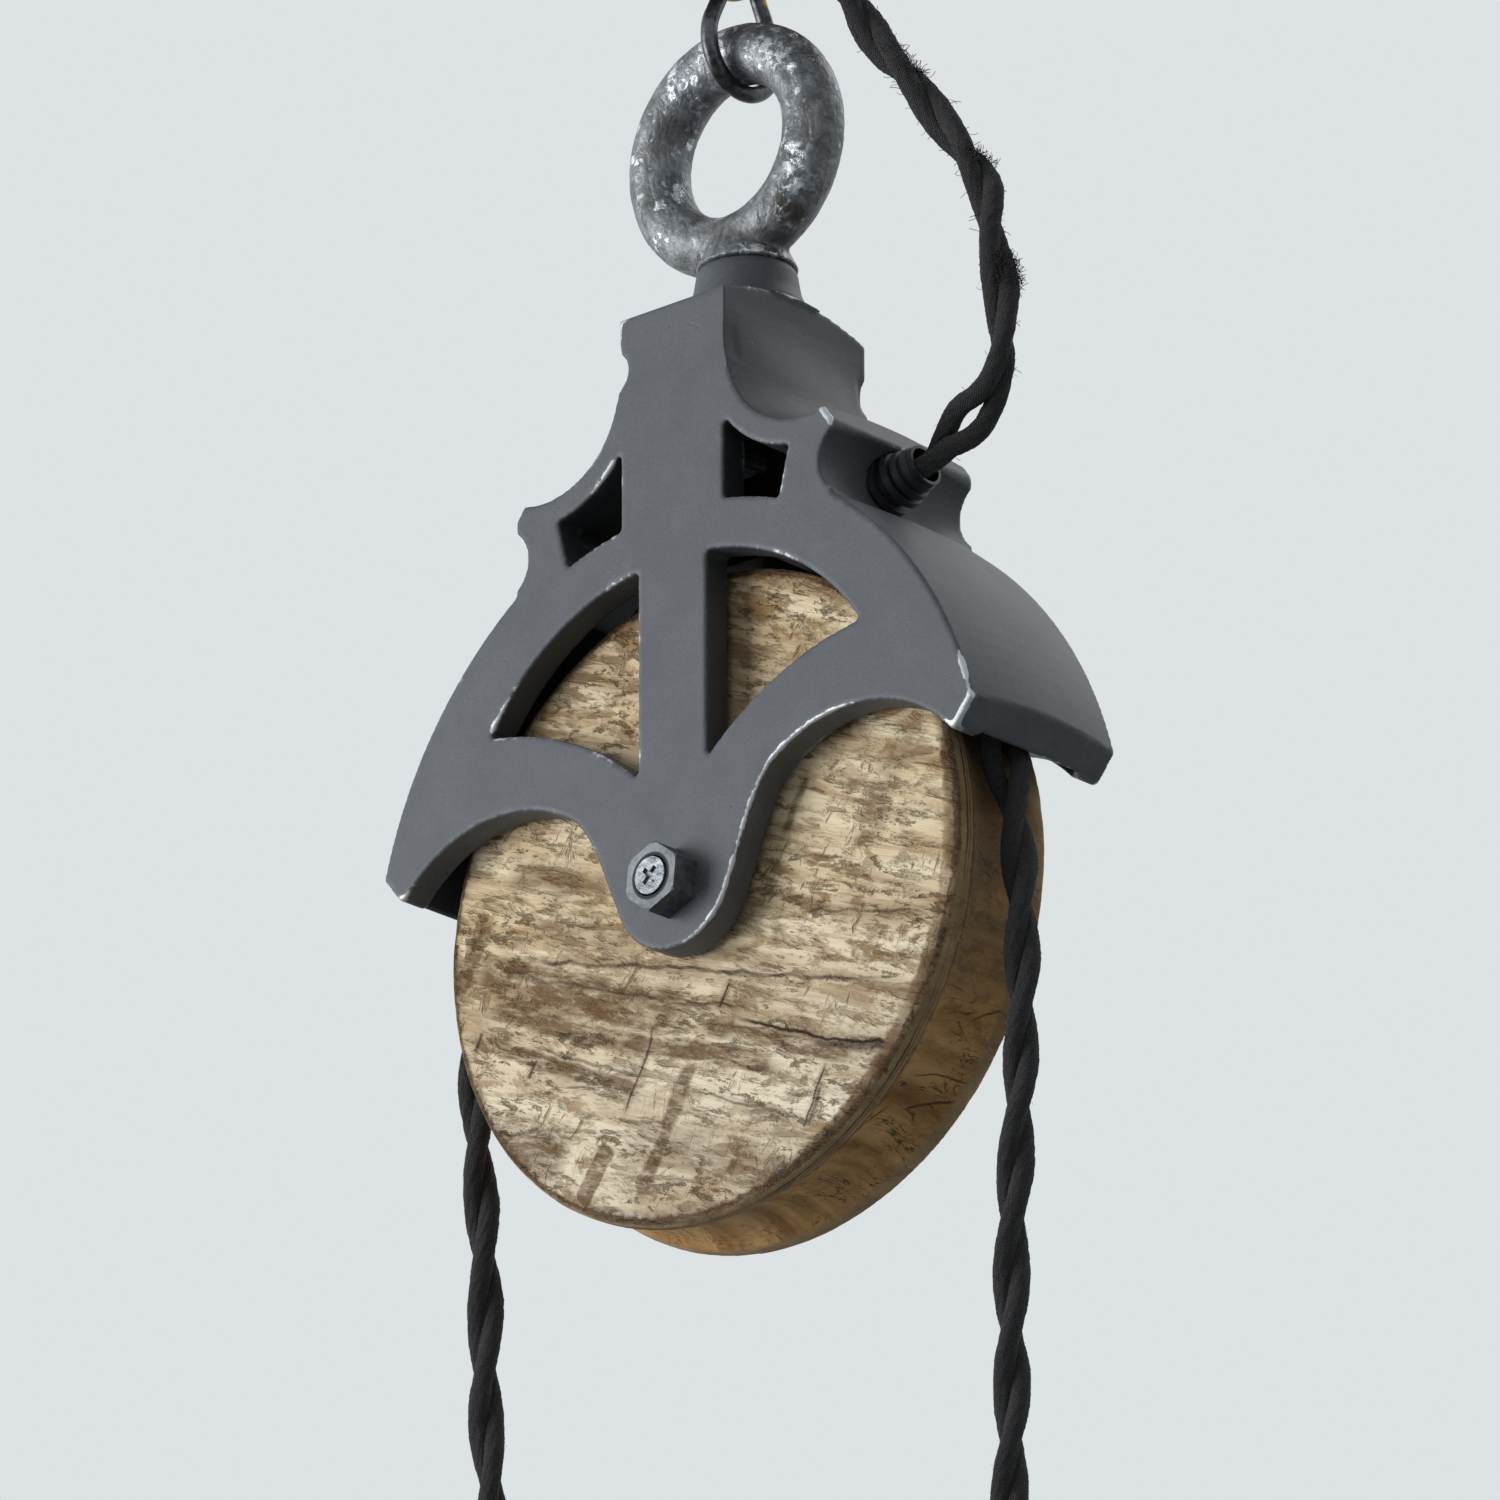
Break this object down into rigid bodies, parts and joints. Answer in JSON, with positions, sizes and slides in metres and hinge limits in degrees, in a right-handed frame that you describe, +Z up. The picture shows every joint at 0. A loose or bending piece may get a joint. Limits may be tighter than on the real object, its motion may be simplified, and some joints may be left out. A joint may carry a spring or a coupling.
{
  "type": "hanging pulley block with a twisted lamp flex",
  "caption": "cast iron pulley block with a wooden sheave, hung by an eye bolt and ring from a ceiling hook, with a twisted flex that splits into two drops with threaded grips",
  "frame": {"origin": "centre of the face of the ceiling plate that lies against the ceiling", "axes": "X to the right across the frame, Y along the axle away from the viewer, Z up; everything hangs below Z = 0"},
  "size_m": [0.1638, 0.084, 0.4355],
  "materials": {
    "iron": "matt grey with rubbed edges",
    "zinc": "zinc plated and worn",
    "brass": "aged brass",
    "wood": "sawn timber with brown streaks",
    "cord": "braided black cloth",
    "grommet": "matt black",
    "rose": "satin black",
    "block": "off white"
  },
  "bodies": {
    "ceiling": {"ceiling_plate": "zinc", "rose_cover": "rose", "rose_gland": "rose", "rose_terminal": "block", "ceiling_hook": "brass", "hook_nut": "brass", "supply_cord_upper": "cord"},
    "ring": {"ring_link": "zinc"},
    "frame": {"frame_casting": "iron", "eye_bolt": "zinc", "eye_washer": "zinc", "eye_nut": "zinc", "axle_bolt": "zinc", "axle_nut": "zinc", "head_washer": "zinc", "side_washers": "zinc", "cord_grommet": "grommet", "terminal_block": "block", "terminal_screws": "brass", "block_screw": "zinc", "supply_cord_lower": "cord", "drop_cord_left": "cord", "drop_cord_right": "cord", "drop_grip_left": "brass", "drop_grip_right": "brass", "drop_nipple_left": "brass", "drop_nipple_right": "brass", "grip_screws": "zinc"},
    "sheave": {"sheave": "wood", "sheave_bush": "brass"}
  },
  "joints": [
    {"name": "hook_swing", "type": "hinge", "parent": "ceiling", "child": "ring", "pos_m": [0, 0, -0.04403], "axis": [1, 0, 0], "range_deg": [-15, 15], "deforming": ["supply_cord_upper"]},
    {"name": "block_swing", "type": "hinge", "parent": "ring", "child": "frame", "pos_m": [0, 0, -0.06798], "axis": [0, 1, 0], "range_deg": [-15, 15], "deforming": ["supply_cord_lower"]},
    {"name": "wheel_spin", "type": "hinge", "parent": "frame", "child": "sheave", "pos_m": [0, 0, -0.25248], "axis": [0, 1, 0], "continuous": true}
  ]
}
